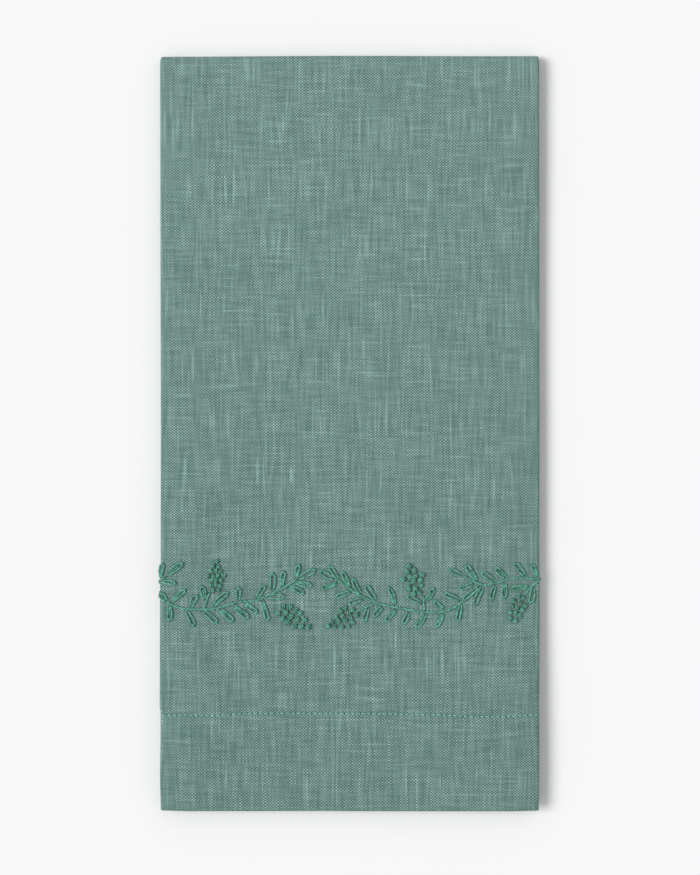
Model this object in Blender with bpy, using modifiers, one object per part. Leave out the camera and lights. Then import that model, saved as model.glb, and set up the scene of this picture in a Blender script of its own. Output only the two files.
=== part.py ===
"""A linen towel, folded in thirds along its length and then in half, with a garland sewn across it.

Metres, +Z up. The towel lies on the ground plane with the sewn face up. Its width runs along X, its
length along Y, and the origin is under the middle of the folded towel.
"""
import math

import bmesh
import bpy
from mathutils import Matrix, Vector

# The cloth as it was cut and hemmed: 20 by 28 inches.
TOWEL_WIDTH = 0.508
TOWEL_LENGTH = 0.7112
FRONT_HEM = 0.0452
REAR_HEM = 0.015

# The folded towel.
FRONT_WIDTH = 0.1785
FOLDED_LENGTH = TOWEL_LENGTH / 2.0
SIDE_PANEL = (TOWEL_WIDTH - FRONT_WIDTH) / 2.0
CLOTH = 0.0010
HEM_CLOTH = 0.00125
LAYER_PITCH = 0.0014
HEM_PITCH = 0.0016
HEM_SLOPE = 0.055
HEM_STEP = 0.0015
LAYER_WAVE = 0.00005
REAR_SHORT = 0.0015
REAR_SKEW = 0.0008
INNER_SHORT = 0.0005

# Heights of the panels over the towel's middle, counted in layer pitches.
FRONT_LEVEL = 2.5
RIGHT_PANEL_LEVEL = 1.5
LEFT_PANEL_LEVEL = 0.5

# Beside each fold one layer is missing, so the cloth sinks there towards its fold.
FOLD_TOP_LEVEL = 2.15
RIGHT_FOLD_LOW_LEVEL = 1.05
LEFT_FOLD_LOW_LEVEL = 0.70
SINK_LENGTH = 0.014

# How finely the cloth is divided.
FOLD_STEPS = 5
SINK_STEPS = 3
PANEL_STEPS = 4
FRONT_STEPS = 9
REAR_STEPS = 7
TOP_FOLD_STEPS = 8
LEAF_SIDES = 6
HEM_EDGE_ROUND = 0.0003

# How far each folded edge stands out, at heights above the lower edge, in millimetres.
# height, left edge, right edge
EDGE_BOWS = (
    (0.0, -0.20, 0.05),
    (44.0, -0.15, 0.00),
    (50.0, 0.40, -0.10),
    (58.0, 0.50, 0.00),
    (104.0, 0.35, 0.25),
    (120.0, 0.00, 0.10),
    (230.0, 0.10, 0.00),
    (356.0, 0.00, 0.00),
)

# The sewing.
SEWING_GAP = 0.0003
STEM_RADIUS = 0.0005
STEM_POINTS = 20
LEAF_WIDTH = 0.0026
LEAF_HEIGHT = 0.0009
LEAF_ROOT = 0.0003
STALK_WIDTH = 0.0013
KNOT_HEIGHT = 0.0015
KNOT_SPREAD = 0.52
KNOT_SHIFT = 0.0002
KNOT_TURN = 1.3
PAD_HEIGHT = 0.0007
FOLD_MARGIN = 0.0012

# A sprig is a stem with leaves along it. Its points are millimetres from the towel's middle, root first.
# A leaf or a stalk has its place along the stem (0 at the root, 1 at the tip), its lean from the stem
# in degrees (above 0 to the left of the way that the stem grows), and its length in millimetres.
# A stalk carries leaves of its own.
SPRIGS = {
    "pine_sprig_left": {
        "stem": (
            (-85.5, -80.0), (-79.5, -82.5), (-70.0, -83.0), (-62.5, -82.5), (-51.5, -79.5),
            (-44.0, -79.0), (-39.0, -76.5), (-32.0, -73.5), (-25.0, -69.0),
        ),
        "leaves": (
            (0.01, 65, 10.0), (0.17, 65, 7.5), (0.32, 40, 11.5), (0.53, 75, 7.0), (0.66, 50, 8.5),
            (0.79, 65, 9.5), (0.87, 55, 8.5), (0.99, 45, 7.5), (1.00, -5, 10.0), (0.00, 150, 4.0),
            (0.01, -65, 8.0), (0.14, -60, 9.0), (0.25, -40, 10.0), (0.38, -55, 9.5), (0.48, -55, 10.5),
            (0.57, -45, 8.5), (0.71, -105, 11.0), (0.74, -30, 9.0), (0.91, -55, 9.0), (0.97, -45, 9.0),
        ),
        "stalks": ((0.27, 70, 8.0, ((0.45, 35, 8.0),)),),
    },
    "pine_sprig_middle": {
        "stem": (
            (53.5, -79.0), (46.0, -83.5), (38.5, -84.5), (24.0, -82.5), (13.0, -80.0),
            (5.0, -76.5), (-0.5, -73.0), (-6.0, -69.0),
        ),
        "leaves": (
            (0.01, -55, 9.5), (0.15, -60, 7.5), (0.52, -60, 10.0), (0.66, -40, 10.0), (0.78, -35, 9.5),
            (0.88, -30, 9.0), (0.98, -20, 8.5), (1.00, 10, 9.0),
            (0.02, 45, 9.0), (0.16, 45, 8.5), (0.29, 60, 9.0), (0.42, 75, 7.5), (0.51, 60, 8.5),
            (0.61, 65, 7.5), (0.75, 45, 8.5), (0.86, 55, 8.5), (0.97, 55, 9.5),
        ),
        "stalks": (
            (0.31, -80, 6.5, ((0.50, 60, 9.0), (0.65, -40, 8.0))),
            (0.66, 40, 10.0, ((0.40, 50, 7.5),)),
        ),
    },
    "pine_sprig_right": {
        "stem": (
            (87.5, -69.0), (83.5, -68.5), (76.0, -68.5), (69.0, -70.5), (63.5, -71.5),
            (59.5, -70.5), (53.5, -67.5),
        ),
        "leaves": (
            (0.02, -65, 7.5), (0.13, -50, 9.0), (0.38, -60, 8.0), (0.54, -50, 8.5), (0.78, -35, 10.5),
            (1.00, 0, 7.5),
            (0.42, 70, 8.5), (0.54, 60, 8.5), (0.71, 70, 10.5), (0.74, 50, 11.5), (0.83, 45, 8.5),
        ),
        "stalks": ((0.00, 60, 7.5, ((0.50, -48, 9.0), (0.50, 27, 7.5))),),
    },
    "pine_sprig_fold": {
        "stem": ((-87.9, -69.0), (-87.2, -68.3), (-86.5, -67.5)),
        "leaves": ((0.05, 45, 6.0), (1.00, 0, 10.0), (0.20, -48, 7.0)),
        "stalks": (),
    },
}

# A cone is rows of knots from its base to its tip.
# name, middle x, middle y (mm), way the tip points (degrees), distance between rows (mm), distance between
# knots in a row (mm), knots in rows
CONES = (
    ("pine_cone_1", -63.0, -67.2, 90, 2.2, 2.3, (2, 3, 3, 4, 3, 2, 1)),
    ("pine_cone_2", -26.0, -87.2, -30, 3.1, 3.3, (2, 3, 3, 3, 2, 1)),
    ("pine_cone_3", -4.0, -88.0, 207, 2.8, 2.6, (2, 4, 4, 3, 2, 1)),
    ("pine_cone_4", 29.8, -69.0, 105, 2.6, 3.0, (2, 3, 3, 4, 2, 1)),
    ("pine_cone_5", 78.5, -82.5, 249, 2.8, 2.6, (2, 3, 3, 3, 2)),
)

# Colours as red, green and blue in linear light, and how rough each thing is.
LINEN_COLOUR = (0.165, 0.279, 0.250)
LINEN_ROUGHNESS = 0.92
THREAD_COLOUR = (0.085, 0.290, 0.215)
THREAD_ROUGHNESS = 0.6

MM = 0.001
OUTER_RADIUS = FRONT_LEVEL * LAYER_PITCH
TOP_FOLD_Y = FOLDED_LENGTH / 2.0 - OUTER_RADIUS - CLOTH / 2.0
LOWER_EDGE_Y = -FOLDED_LENGTH / 2.0
FOLD_X = FRONT_WIDTH / 2.0 - CLOTH / 2.0


def ease(low, high, value):
    """Goes smoothly from 0 at low to 1 at high."""
    share = min(1.0, max(0.0, (value - low) / (high - low)))
    return share * share * (3.0 - 2.0 * share)


def clear_scene():
    for thing in list(bpy.data.objects):
        bpy.data.objects.remove(thing, do_unlink=True)


def new_collection(name):
    collection = bpy.data.collections.new(name)
    bpy.context.scene.collection.children.link(collection)
    return collection


def new_material(name, colour, roughness):
    material = bpy.data.materials.new(name)
    material.use_nodes = True
    shader = material.node_tree.nodes["Principled BSDF"]
    shader.inputs["Base Color"].default_value = (*colour, 1.0)
    shader.inputs["Roughness"].default_value = roughness
    shader.inputs["Metallic"].default_value = 0.0
    return material


def new_object(name, shape, collection, material):
    thing = bpy.data.objects.new(name, bmesh_to_mesh(name, shape))
    thing.data.materials.append(material)
    collection.objects.link(thing)
    return thing


def bmesh_to_mesh(name, shape):
    mesh = bpy.data.meshes.new(name)
    shape.to_mesh(mesh)
    shape.free()
    return mesh


def layer_pitch(x, y):
    """The distance between two layers' middles: more in the hem, and a little uneven."""
    hem = 1.0 - ease(FRONT_HEM, FRONT_HEM + HEM_SLOPE, y - LOWER_EDGE_Y)
    wave = math.sin(41.0 * x + 9.0 * y + 0.6) + math.sin(17.0 * y - 23.0 * x) + 0.6 * math.sin(46.0 * y + 2.0)
    return LAYER_PITCH + (HEM_PITCH - LAYER_PITCH) * hem + LAYER_WAVE * wave


def hem_share(depth, hem_depth):
    """1 inside a hem, 0 past its sewn edge."""
    return 1.0 - ease(hem_depth - HEM_STEP, hem_depth + HEM_STEP, depth)


def cloth_thickness(share):
    return CLOTH + (HEM_CLOTH - CLOTH) * share


def middle_height(x, y):
    """The height of the plane between the front half and the rear half. The underside stays flat."""
    rear_cloth = cloth_thickness(hem_share(y - rear_edge(x), REAR_HEM))
    return rear_cloth / 2.0 + FRONT_LEVEL * layer_pitch(x, y)


def rear_edge(x):
    return LOWER_EDGE_Y + REAR_SHORT + REAR_SKEW * x / FOLD_X


def edge_bow(height, column):
    """How far a folded edge stands out at this height above the lower edge."""
    height_mm = height / MM
    for low, high in zip(EDGE_BOWS, EDGE_BOWS[1:]):
        if height_mm <= high[0]:
            share = ease(low[0], high[0], height_mm)
            return (low[column] + (high[column] - low[column]) * share) * MM
    return EDGE_BOWS[-1][column] * MM


def bowed(x, y):
    """Moves a place sideways by its share of the bow of the nearer folded edge."""
    column = 1 if x < 0.0 else 2
    outward = edge_bow(y - LOWER_EDGE_Y, column) * abs(x) / FOLD_X
    return x + math.copysign(outward, x)


def front_level(x):
    """The level of the front panel, which sinks a little beside its folds."""
    sink = ease(FOLD_X - SINK_LENGTH, FOLD_X, abs(x))
    return FRONT_LEVEL + (FOLD_TOP_LEVEL - FRONT_LEVEL) * sink


def panel_columns(inner_x, outer_x):
    """Places across a tucked panel, from its free edge to its fold."""
    sink_x = outer_x - math.copysign(SINK_LENGTH, outer_x)
    plain = [inner_x + (sink_x - inner_x) * step / PANEL_STEPS for step in range(PANEL_STEPS)]
    sinking = [sink_x + (outer_x - sink_x) * step / SINK_STEPS for step in range(SINK_STEPS + 1)]
    return plain + sinking


def side_fold(side, low_level, top_level):
    """A half turn at one side, from the low level up to the top one."""
    middle = (low_level + top_level) / 2.0
    reach = (top_level - low_level) / 2.0
    turn = []
    for step in range(1, FOLD_STEPS):
        angle = math.pi * step / FOLD_STEPS
        x = side * (FOLD_X - reach * LAYER_PITCH + reach * LAYER_PITCH * math.sin(angle))
        turn.append((x, middle - reach * math.cos(angle)))
    return turn


def section_across():
    """The fold in thirds as places across the towel with their levels, one free edge to the other."""
    right_reach = (FOLD_TOP_LEVEL - RIGHT_FOLD_LOW_LEVEL) / 2.0 * LAYER_PITCH
    left_reach = (FOLD_TOP_LEVEL - LEFT_FOLD_LOW_LEVEL) / 2.0 * LAYER_PITCH
    right_x = FOLD_X - right_reach
    left_x = -FOLD_X + left_reach
    section = []
    for x in panel_columns(right_x - SIDE_PANEL, right_x):
        sink = ease(right_x - SINK_LENGTH, right_x, x)
        section.append((x, RIGHT_PANEL_LEVEL + (RIGHT_FOLD_LOW_LEVEL - RIGHT_PANEL_LEVEL) * sink))
    section += side_fold(1.0, RIGHT_FOLD_LOW_LEVEL, FOLD_TOP_LEVEL)
    right_half = panel_columns(0.0, right_x)
    left_half = panel_columns(0.0, left_x)
    for x in list(reversed(right_half)) + left_half[1:]:
        reach_x = right_x if x > 0.0 else -left_x
        sink = ease(reach_x - SINK_LENGTH, reach_x, abs(x))
        section.append((x, FRONT_LEVEL + (FOLD_TOP_LEVEL - FRONT_LEVEL) * sink))
    section += reversed(side_fold(-1.0, LEFT_FOLD_LOW_LEVEL, FOLD_TOP_LEVEL))
    for x in reversed(panel_columns(left_x + SIDE_PANEL, left_x)):
        sink = ease(-left_x - SINK_LENGTH, -left_x, -x)
        section.append((x, LEFT_PANEL_LEVEL + (LEFT_FOLD_LOW_LEVEL - LEFT_PANEL_LEVEL) * sink))
    return section


def rows_along():
    """The fold in half as rows from the lower front edge, over the top and down to the rear edge."""
    hem_rows = [0.0, FRONT_HEM / 2.0, FRONT_HEM - HEM_STEP, FRONT_HEM + HEM_STEP]
    slope_rows = [FRONT_HEM + HEM_SLOPE * share for share in (0.35, 0.7, 1.0)]
    run = TOP_FOLD_Y - LOWER_EDGE_Y
    rest = [hem_rows[-1] + HEM_SLOPE + (run - FRONT_HEM - HEM_SLOPE) * step / FRONT_STEPS
            for step in range(1, FRONT_STEPS)]
    rows = [("front", depth / run) for depth in hem_rows + slope_rows + rest]
    rows += [("turn", step / TOP_FOLD_STEPS) for step in range(TOP_FOLD_STEPS + 1)]
    rear_hem_rows = [REAR_HEM + HEM_STEP, REAR_HEM - HEM_STEP, 0.0]
    rear = [run * (1.0 - step / REAR_STEPS) for step in range(1, REAR_STEPS)]
    rear = [depth for depth in rear if depth > 2.0 * REAR_HEM] + rear_hem_rows
    rows += [("rear", depth / run) for depth in rear]
    return rows


def folded(place, row):
    """A point of the sheet's middle surface, and its share of hem, from its column and its row."""
    x, level = place
    part, share = row
    inward = INNER_SHORT * (FRONT_LEVEL - level)
    if part == "turn":
        angle = math.pi * share
        radius = level * layer_pitch(x, TOP_FOLD_Y)
        y = TOP_FOLD_Y + radius * math.sin(angle)
        z = middle_height(x, TOP_FOLD_Y) + radius * math.cos(angle)
        return Vector((bowed(x, y), y, z)), 0.0
    if part == "front":
        low = LOWER_EDGE_Y + inward
        y = low + (TOP_FOLD_Y - low) * share
        z = middle_height(x, y) + level * layer_pitch(x, y)
        return Vector((bowed(x, y), y, z)), hem_share(y - LOWER_EDGE_Y, FRONT_HEM)
    low = rear_edge(x) + inward
    y = low + (TOP_FOLD_Y - low) * share
    z = middle_height(x, y) - level * layer_pitch(x, y)
    return Vector((bowed(x, y), y, z)), hem_share(y - rear_edge(x), REAR_HEM)


def make_towel(collection, material):
    """One sheet of linen, folded from a flat grid and then given its thickness."""
    section = section_across()
    rows = rows_along()
    columns = len(section) - 1
    lines = len(rows) - 1
    shape = bmesh.new()
    bmesh.ops.create_grid(shape, x_segments=columns, y_segments=lines, size=0.5)
    hems = []
    for corner in shape.verts:
        column = round((corner.co.x + 0.5) * columns)
        line = round((corner.co.y + 0.5) * lines)
        corner.co, share = folded(section[column], rows[line])
        hems.append(share)
    towel = new_object("linen_towel", shape, collection, material)
    towel.data.shade_smooth()
    hem_group = towel.vertex_groups.new(name="hem")
    for index, share in enumerate(hems):
        hem_group.add([index], cloth_thickness(share) / HEM_CLOTH, "REPLACE")
    thickness = towel.modifiers.new("linen_thickness", "SOLIDIFY")
    thickness.thickness = HEM_CLOTH
    thickness.offset = 0.0
    thickness.use_even_offset = True
    thickness.vertex_group = hem_group.name
    rounding = towel.modifiers.new("hem_edges", "BEVEL")
    rounding.width = HEM_EDGE_ROUND
    rounding.segments = 1
    rounding.limit_method = "ANGLE"
    rounding.angle_limit = math.radians(60.0)
    return towel


def cloth_top(x, y):
    """The height of the front panel's face."""
    thick = cloth_thickness(hem_share(y - LOWER_EDGE_Y, FRONT_HEM))
    return middle_height(x, y) + front_level(x) * layer_pitch(x, y) + thick / 2.0


def smooth_path(points, count):
    """Evenly spaced places on a smooth curve through the points, in metres."""
    knots = [Vector((x * MM, y * MM)) for x, y in points]
    padded = [knots[0] * 2.0 - knots[1], *knots, knots[-1] * 2.0 - knots[-2]]
    fine = []
    for before, start, end, after in zip(padded, padded[1:], padded[2:], padded[3:]):
        for step in range(12):
            t = step / 12.0
            bend = (before * 2.0 - start * 5.0 + end * 4.0 - after) * t * t
            turn = (start * 3.0 - before - end * 3.0 + after) * t * t * t
            fine.append((start * 2.0 + (end - before) * t + bend + turn) * 0.5)
    fine.append(knots[-1])
    lengths = [0.0]
    for start, end in zip(fine, fine[1:]):
        lengths.append(lengths[-1] + (end - start).length)
    path = []
    for step in range(count):
        wanted = lengths[-1] * step / (count - 1)
        index = max(1, next(i for i, reach in enumerate(lengths) if reach >= wanted - 1e-9))
        part = (wanted - lengths[index - 1]) / (lengths[index] - lengths[index - 1])
        path.append(fine[index - 1].lerp(fine[index], part))
    return path


def stem_place(path, share):
    """The place on a stem at this share of its length, and the way that it grows there."""
    spot = min(share * (len(path) - 1), len(path) - 1.001)
    index = int(spot)
    place = path[index].lerp(path[index + 1], spot - index)
    onward = path[index + 1] - path[index]
    return place, math.atan2(onward.y, onward.x)


def within_folds(x):
    limit = FOLD_X - FOLD_MARGIN
    return max(-limit, min(limit, x))


def tube_mesh(path, radius, name):
    """A stem as a mesh: a bevelled curve laid on the cloth, its caps welded."""
    curve = bpy.data.curves.new(name, "CURVE")
    curve.dimensions = "3D"
    curve.bevel_depth = radius
    curve.bevel_resolution = 1
    curve.use_fill_caps = True
    spline = curve.splines.new("POLY")
    spline.points.add(len(path) - 1)
    for point, place in zip(spline.points, path):
        x = within_folds(place.x)
        point.co = (x, place.y, cloth_top(x, place.y) + SEWING_GAP + radius, 1.0)
    guide = bpy.data.objects.new(name, curve)
    bpy.context.scene.collection.objects.link(guide)
    evaluated = guide.evaluated_get(bpy.context.evaluated_depsgraph_get())
    mesh = bpy.data.meshes.new_from_object(evaluated)
    bpy.data.objects.remove(guide, do_unlink=True)
    shape = bmesh.new()
    shape.from_mesh(mesh)
    bmesh.ops.remove_doubles(shape, verts=shape.verts, dist=0.00001)
    shape.to_mesh(mesh)
    shape.free()
    return mesh


def add_leaf(shape, middle, angle, size):
    """Adds a flattened ball, long along its angle, with its poles at its ends."""
    ball = bmesh.ops.create_uvsphere(shape, u_segments=LEAF_SIDES, v_segments=4, radius=0.5)["verts"]
    turn = Matrix.Rotation(math.pi / 2.0, 4, "Y")
    bmesh.ops.transform(shape, matrix=turn, verts=ball)
    lay_on_cloth(shape, ball, middle, angle, size)


def add_knot(shape, middle, angle, radius):
    """Adds a small flattened ball."""
    ball = bmesh.ops.create_icosphere(shape, subdivisions=1, radius=0.5)["verts"]
    lay_on_cloth(shape, ball, middle, angle, (2.0 * radius, 2.0 * radius, KNOT_HEIGHT))


def lay_on_cloth(shape, ball, middle, angle, size):
    """Stretches a ball to its size, turns it to its angle and sets it on the cloth, which it follows."""
    length, width, height = size
    spread = Matrix.Diagonal((length, width, height, 1.0))
    spin = Matrix.Rotation(angle, 4, "Z")
    bmesh.ops.transform(shape, matrix=spin @ spread, verts=ball)
    for corner in ball:
        x = within_folds(corner.co.x + middle.x)
        y = corner.co.y + middle.y
        corner.co = (x, y, corner.co.z + cloth_top(x, y) + SEWING_GAP + height / 2.0)


def add_union(thing, cutter):
    """Joins the cutter's shapes, which may overlap each other, to the thing as one body."""
    cutter.hide_render = True
    cutter.display_type = "WIRE"
    join = thing.modifiers.new("sewn_together", "BOOLEAN")
    join.operation = "UNION"
    join.solver = "EXACT"
    join.use_self = True
    join.object = cutter


def add_leaves(shape, path, leaves):
    """Adds the leaves that grow from a stem or a stalk."""
    for share, lean, length_mm in leaves:
        root, angle = stem_place(path, share)
        angle += math.radians(lean)
        length = length_mm * MM
        middle = root + Vector((math.cos(angle), math.sin(angle))) * (length / 2.0 - LEAF_ROOT)
        add_leaf(shape, middle, angle, (length, LEAF_WIDTH, LEAF_HEIGHT))


def make_sprig(name, chart, collection, cutters, material):
    """A stem with its stalks and leaves, as one raised body."""
    path = smooth_path(chart["stem"], STEM_POINTS)
    sprig = bpy.data.objects.new(name, tube_mesh(path, STEM_RADIUS, name))
    sprig.data.materials.append(material)
    sprig.data.shade_smooth()
    collection.objects.link(sprig)
    leaves = bmesh.new()
    add_leaves(leaves, path, chart["leaves"])
    for share, lean, length_mm, stalk_leaves in chart["stalks"]:
        root, angle = stem_place(path, share)
        angle += math.radians(lean)
        length = length_mm * MM
        onward = Vector((math.cos(angle), math.sin(angle)))
        add_leaf(leaves, root + onward * (length / 2.0 - LEAF_ROOT), angle, (length, STALK_WIDTH, LEAF_HEIGHT))
        add_leaves(leaves, (root, root + onward * length), stalk_leaves)
    add_union(sprig, new_object(name + "_leaves", leaves, cutters, material))
    return sprig


def knot_places(middle_x, middle_y, tip_angle, row_pitch, knot_pitch, rows):
    """The knots of a cone, row by row from its base, each a little out of line."""
    angle = math.radians(tip_angle)
    onward = Vector((math.cos(angle), math.sin(angle)))
    across = Vector((-onward.y, onward.x))
    places = []
    for row, knots in enumerate(rows):
        along = (row - (len(rows) - 1) / 2.0) * row_pitch * MM
        for knot in range(knots):
            side = (knot - (knots - 1) / 2.0) * knot_pitch * MM
            turn = 2.4 * (row * 5 + knot) + tip_angle
            shift = Vector((math.cos(turn), math.sin(turn))) * KNOT_SHIFT
            places.append(Vector((middle_x, middle_y)) * MM + onward * along + across * side + shift)
    return places


def make_cone(row, collection, cutters, material):
    """A cone of knots on a low pad, fused into one raised body."""
    name, middle_x, middle_y, tip_angle, row_pitch, knot_pitch, rows = row
    places = knot_places(middle_x, middle_y, tip_angle, row_pitch, knot_pitch, rows)
    length = (len(rows) - 0.4) * row_pitch * MM
    width = (max(rows) - 0.6) * knot_pitch * MM
    pad = bmesh.new()
    centre = Vector((middle_x, middle_y)) * MM
    add_leaf(pad, centre, math.radians(tip_angle), (length, width, PAD_HEIGHT))
    cone = new_object(name, pad, collection, material)
    cone.data.shade_smooth()
    knots = bmesh.new()
    for number, place in enumerate(places):
        add_knot(knots, place, number * KNOT_TURN, knot_pitch * MM * KNOT_SPREAD)
    add_union(cone, new_object(name + "_knots", knots, cutters, material))
    return cone


def main():
    clear_scene()
    towel_pieces = new_collection("linen towel")
    cutters = new_collection("cutters")
    linen = new_material("linen", LINEN_COLOUR, LINEN_ROUGHNESS)
    thread = new_material("embroidery_thread", THREAD_COLOUR, THREAD_ROUGHNESS)
    make_towel(towel_pieces, linen)
    for name, chart in SPRIGS.items():
        make_sprig(name, chart, towel_pieces, cutters, thread)
    for row in CONES:
        make_cone(row, towel_pieces, cutters, thread)


main()
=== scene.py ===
"""The looks of a folded linen towel with a pine garland sewn across it, seen from straight above."""
import math
import random

import bpy
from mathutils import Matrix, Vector


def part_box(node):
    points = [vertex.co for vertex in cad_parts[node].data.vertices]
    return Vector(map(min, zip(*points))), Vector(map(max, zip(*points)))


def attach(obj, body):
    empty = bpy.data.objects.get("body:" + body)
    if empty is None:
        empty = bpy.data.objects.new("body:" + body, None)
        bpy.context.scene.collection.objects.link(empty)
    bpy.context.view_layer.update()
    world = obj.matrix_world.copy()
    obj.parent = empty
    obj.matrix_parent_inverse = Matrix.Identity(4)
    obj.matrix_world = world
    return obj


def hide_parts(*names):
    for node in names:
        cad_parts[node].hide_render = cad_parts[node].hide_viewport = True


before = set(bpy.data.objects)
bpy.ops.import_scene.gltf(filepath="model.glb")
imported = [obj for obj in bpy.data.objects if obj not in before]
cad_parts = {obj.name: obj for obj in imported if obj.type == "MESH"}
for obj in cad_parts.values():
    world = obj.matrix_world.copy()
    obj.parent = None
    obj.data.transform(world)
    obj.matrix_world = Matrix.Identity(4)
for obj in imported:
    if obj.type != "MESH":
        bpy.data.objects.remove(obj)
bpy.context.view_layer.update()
towel_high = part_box("linen_towel")[1]

MM = 0.001
BODY = "root"
SEWING_SEED = 12

# The cloth as it was cut and hemmed, and as it is folded. These repeat the solid's own sizes.
TOWEL_WIDTH = 0.508
TOWEL_LENGTH = 0.7112
FRONT_HEM = 0.0452
REAR_HEM = 0.015
FRONT_WIDTH = 0.1785
FOLDED_LENGTH = TOWEL_LENGTH / 2.0
SIDE_PANEL = (TOWEL_WIDTH - FRONT_WIDTH) / 2.0
CLOTH = 0.0010
HEM_CLOTH = 0.00125
LAYER_PITCH = 0.0014
HEM_PITCH = 0.0016
HEM_SLOPE = 0.055
HEM_STEP = 0.0015
REAR_SHORT = 0.0015
REAR_SKEW = 0.0008
INNER_SHORT = 0.0005
FRONT_LEVEL = 2.5
RIGHT_PANEL_LEVEL = 1.5
LEFT_PANEL_LEVEL = 0.5
FOLD_TOP_LEVEL = 2.15
RIGHT_FOLD_LOW_LEVEL = 1.05
LEFT_FOLD_LOW_LEVEL = 0.70
SINK_LENGTH = 0.014
EDGE_ROUND = 0.0004

# The layers lie a little unevenly, in waves: radians for each metre across and along, start, height.
LAYER_WAVES = (
    (41.0, 9.0, 0.6, 0.00005),
    (-23.0, 17.0, 0.0, 0.00005),
    (0.0, 46.0, 2.0, 0.00003),
)

# The soft marks that pressing leaves in the front face: their heights.
PRESS_ALONG = 0.00004
PRESS_ACROSS = 0.00003

# How finely the cloth is divided.
FOLD_STEPS = 10
SINK_STEPS = 9
INNER_STEPS = 12
FRONT_HALF_STEPS = 24
FRONT_ROW = 0.0021
REAR_ROW = 0.0065
TOP_FOLD_STEPS = 16
SEAM_ROW = 0.0007
SEAM_ROWS = 3
SEAM_CLEAR = 0.0028

# How far each folded edge stands out, or is drawn in below zero: height above the lower edge, left edge,
# right edge, in millimetres.
EDGE_BOWS = (
    (0.0, -0.40, -0.40),
    (14.0, -0.10, -0.20),
    (44.0, -0.32, -0.18),
    (50.0, 0.22, -0.12),
    (62.0, 0.18, 0.00),
    (104.0, 0.12, 0.25),
    (120.0, -0.20, 0.05),
    (190.0, -0.22, 0.15),
    (250.0, -0.05, 0.05),
    (356.0, 0.10, -0.05),
)

# The hem's seam wanders a little: place across the towel, height above the hem's depth, in millimetres.
# Its thread draws the cloth down, unevenly along the seam: radians for each metre, start, share.
SEAM_WANDER = (
    (-89.0, -0.2), (-60.0, -0.2), (-50.0, 0.7), (8.0, 0.7), (38.0, 0.1),
    (60.0, -0.8), (70.0, -0.8), (89.0, 0.0),
)
SEAM_STITCH = 0.00254
SEAM_STITCHES = 70
SEAM_GAP = 0.0004
SEAM_THREAD = 0.00025
SEAM_STRAY = 0.0001
SEAM_SLANT = 0.00006
SEAM_DIP = 0.00025
SEAM_DIP_REACH = 0.0018
SEAM_PULLS = ((690.0, 0.0, 0.35), (1130.0, 1.0, 0.25))

# The garland's threads: their radii, and how they are twisted and laid.
LOOP_THREAD = 0.00050
FILLING_THREAD = 0.00040
STEM_THREAD = 0.00046
KNOT_THREAD = 0.00040
THREAD_FLATNESS = 0.8
THREAD_SIDES = 12
THREAD_END = 0.6
THREAD_UNDER = 0.75
THREAD_PLIES = 3
THREAD_STRANDS = 6.0
PLY_SWELL = 0.07
PLY_TURN = 0.0055
STEM_STITCH = 0.0040
STEM_STEP = 0.0021
STEM_SIDE = 0.00034
STEM_STRAY = 0.00008
STEM_DRIFT = 0.12
STEM_STEPS = 6
KNOT_STEPS = 11
KNOT_LIFT = 0.00042
KNOT_WRAP = 0.00094
KNOT_ROOM = 0.82
LARGE_KNOT = 0.0029
KNOT_STRAY = 0.0004
KNOT_RISE = 0.0003
LEAF_WIDTH = 0.0030
LEAF_START = 0.0009
LEAF_BEND = 0.05
LEAF_FILLED = 0.55
LOOP_SIDE_STEPS = 8
LOOP_TIP_STEPS = 6
LOOP_ROOT = 0.45
LOOP_WIDENS = (-0.1, 0.65)
HOLDING_BEFORE = 0.0011
HOLDING_PAST = 0.0004
STITCH_STEPS = 7
NEEDLE_DIP = 0.0005
CURVE_STEPS = 12
STEM_PLACES = 60
STALK_PLACES = 12

# How much the threads and stitches vary, as shares of their usual size or of what they lie on.
WIDTH_RANGE = (0.86, 1.08)
LOOP_RANGE = (0.92, 1.05)
STEM_RANGE = (0.9, 1.05)
FILLING_START = 0.08
FILLING_RANGE = (0.60, 0.84)
KNOT_LENGTH_RANGE = (0.90, 1.05)
KNOT_REACH_RANGE = (0.30, 0.38)

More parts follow.
